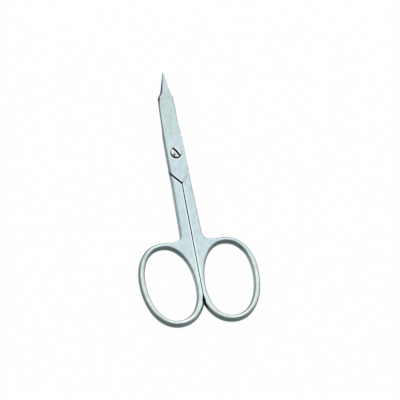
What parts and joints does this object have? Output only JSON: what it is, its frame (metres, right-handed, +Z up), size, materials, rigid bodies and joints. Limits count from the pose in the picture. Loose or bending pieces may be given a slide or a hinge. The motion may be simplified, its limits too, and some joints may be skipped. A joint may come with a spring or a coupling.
{
  "type": "nail scissors",
  "caption": "Curved nail scissors: forged steel halves with tower-point blades that cross at a slotted pivot screw, each half ending in an oval finger bow.",
  "frame": {"origin": "middle of the closed scissors' box, on the surface that they lie on", "axes": "+Y from the finger bows to the blade tips, +Z up through the screw head, +X towards the bow of the upper half"},
  "size_m": [0.0412, 0.0884, 0.0061],
  "materials": {
    "upper_half_steel": "satin",
    "lower_half_steel": "satin",
    "screw_steel": "polished"
  },
  "bodies": {
    "lower": {"lower_half": "lower_half_steel", "pivot_screw": "screw_steel"},
    "upper": {"upper_half": "upper_half_steel"}
  },
  "joints": [
    {"name": "pivot", "type": "hinge", "parent": "lower", "child": "upper", "pos_m": [0, 0.01663, 0.0016], "axis": [0, 0, 1], "range_deg": [0, 130]}
  ]
}
